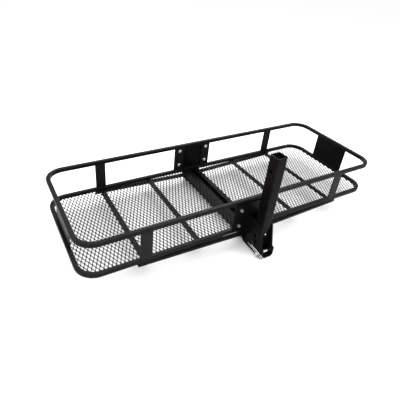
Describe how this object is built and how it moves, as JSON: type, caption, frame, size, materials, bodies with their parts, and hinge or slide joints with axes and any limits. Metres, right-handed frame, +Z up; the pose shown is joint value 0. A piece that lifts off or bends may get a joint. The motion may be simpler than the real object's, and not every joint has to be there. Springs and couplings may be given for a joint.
{
  "type": "hitch cargo carrier",
  "caption": "Folding receiver-mounted cargo basket with an expanded-metal floor, low tube rails and a square shank.",
  "frame": {"origin": "bottom centre of the carrier's box, level with the underside of the main beam", "axes": "+X along the basket to its right end, +Y away from the vehicle, +Z up"},
  "size_m": [1.6, 0.7521, 0.4927],
  "materials": {
    "rail_paint": "gloss black powder coat",
    "floor_paint": "black powder coat",
    "shank_paint": "gloss black powder coat",
    "plate_paint": "gloss black powder coat",
    "post_paint": "textured black powder coat",
    "frame_paint": "gloss black powder coat",
    "black_hardware": "black oxide",
    "zinc_bolts": "bright zinc plate",
    "zinc_nuts": "bright zinc plate",
    "zinc_pin": "bright zinc plate"
  },
  "bodies": {
    "carrier": {"left_upper_rail": "rail_paint", "right_upper_rail": "rail_paint", "left_lower_rail": "rail_paint", "right_lower_rail": "rail_paint", "left_front_post": "post_paint", "left_rear_post": "post_paint", "right_front_post": "post_paint", "right_rear_post": "post_paint", "left_front_joint_post": "post_paint", "left_rear_joint_post": "post_paint", "right_front_joint_post": "post_paint", "right_rear_joint_post": "post_paint", "left_end_plate": "plate_paint", "right_end_plate": "plate_paint", "left_outer_bar": "frame_paint", "left_inner_bar": "frame_paint", "left_seam_bar": "frame_paint", "right_outer_bar": "frame_paint", "right_inner_bar": "frame_paint", "right_seam_bar": "frame_paint", "left_mesh": "floor_paint", "right_mesh": "floor_paint", "left_front_brace": "frame_paint", "left_rear_brace": "frame_paint", "right_front_brace": "frame_paint", "right_rear_brace": "frame_paint", "main_beam": "frame_paint", "front_joint_plate": "plate_paint", "rear_joint_plate": "plate_paint", "joint_bolts": "zinc_bolts", "joint_washers": "zinc_nuts", "joint_nuts": "zinc_nuts", "left_cradle_plate": "plate_paint", "right_cradle_plate": "plate_paint", "cradle_web": "plate_paint", "pivot_bolt": "black_hardware", "pivot_washer": "black_hardware", "pivot_nut": "black_hardware"},
    "shank": {"shank_tube": "shank_paint", "shank_screw": "zinc_bolts"},
    "pin": {"hitch_pin": "zinc_pin"},
    "clip": {"pin_clip": "zinc_pin"}
  },
  "joints": [
    {"name": "shank_fold", "type": "hinge", "parent": "carrier", "child": "shank", "pos_m": [0, -0.27534, 0.0537], "axis": [1, 0, 0], "range_deg": [0, 90]},
    {"name": "hitch_pin_play", "type": "slide", "parent": "carrier", "child": "pin", "axis": [1, 0, 0], "range_m": [-0.0004, 0.005]},
    {"name": "clip_pull", "type": "slide", "parent": "pin", "child": "clip", "axis": [0, -0.9914, -0.1305], "range_m": [0, 0.08]}
  ]
}
